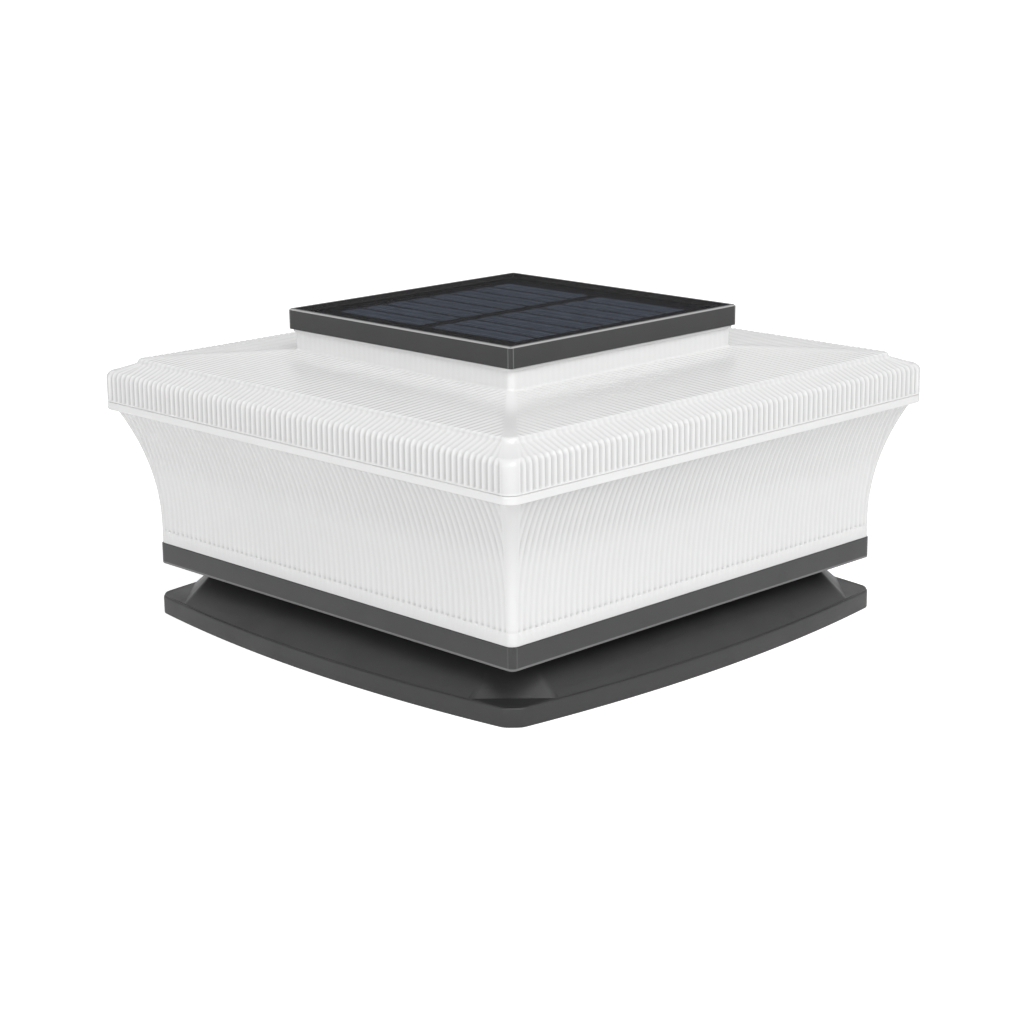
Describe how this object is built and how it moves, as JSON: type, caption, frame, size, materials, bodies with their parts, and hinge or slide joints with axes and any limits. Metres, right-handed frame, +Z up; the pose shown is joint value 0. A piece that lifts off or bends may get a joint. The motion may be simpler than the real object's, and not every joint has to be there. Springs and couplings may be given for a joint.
{
  "type": "deck post cap light",
  "caption": "Square solar post cap light: black bowed base plate, black tray, flared ribbed clear lens and a black framed solar panel on top.",
  "frame": {"origin": "middle of the underside, in the plane that rests on a surface", "axes": "+Z up towards the solar panel; the square's sides lie along X and Y, the panel's cell strips run along X"},
  "size_m": [0.1976, 0.1976, 0.106],
  "materials": {
    "base_black": "satin black moulded plastic",
    "tray_black": "satin black moulded plastic",
    "frame_black": "satin black moulded plastic",
    "lens_clear": "clear ribbed plastic, slightly milky",
    "white_plastic": "white moulded plastic",
    "screw_steel": "plated steel",
    "seal_rubber": "black rubber",
    "foam": "black foam",
    "panel_black": "black board",
    "cell_navy": "dark blue cells with fine lines",
    "cover_clear": "clear sheet",
    "cell_wrap": "blue shrink wrap",
    "contact_nickel": "nickel plated strip",
    "board_white": "white circuit board",
    "board_green": "green circuit board",
    "component_black": "moulded components",
    "led_body": "lamp packages with yellow phosphor",
    "switch_metal": "tinned can",
    "knob_black": "black plastic",
    "lead_red": "red insulation",
    "lead_black": "black insulation"
  },
  "bodies": {
    "base": {"post_base": "base_black", "reflector_plate": "white_plastic"},
    "head": {"lower_tray": "tray_black", "tray_screws": "screw_steel", "lower_lens": "lens_clear", "upper_lens": "lens_clear", "collar_gasket": "seal_rubber", "solar_frame": "frame_black", "panel_seal": "foam", "panel_backing": "panel_black", "solar_cells": "cell_navy", "panel_cover": "cover_clear", "housing_tub": "white_plastic", "housing_screws": "screw_steel", "battery_cell": "cell_wrap", "battery_contact": "contact_nickel", "battery_leaf_spring": "contact_nickel", "battery_door": "white_plastic", "door_screws": "screw_steel", "door_pad": "foam", "led_board_front": "board_white", "led_board_rear": "board_white", "leds": "led_body", "led_cover_front": "cover_clear", "led_cover_rear": "cover_clear", "control_board": "board_green", "board_components": "component_black", "board_screws": "screw_steel", "switch_body": "switch_metal", "panel_lead_red": "lead_red", "panel_lead_black": "lead_black", "battery_lead_red": "lead_red", "battery_lead_black": "lead_black", "lamp_lead_red": "lead_red", "lamp_lead_black": "lead_black"},
    "switch_knob": {"switch_slider": "knob_black"}
  },
  "joints": [
    {"name": "head_lift", "type": "slide", "parent": "base", "child": "head", "axis": [0, 0, 1], "range_m": [0, 0.05]},
    {"name": "switch_slide", "type": "slide", "parent": "head", "child": "switch_knob", "axis": [1, 0, 0], "range_m": [0, 0.004]}
  ]
}
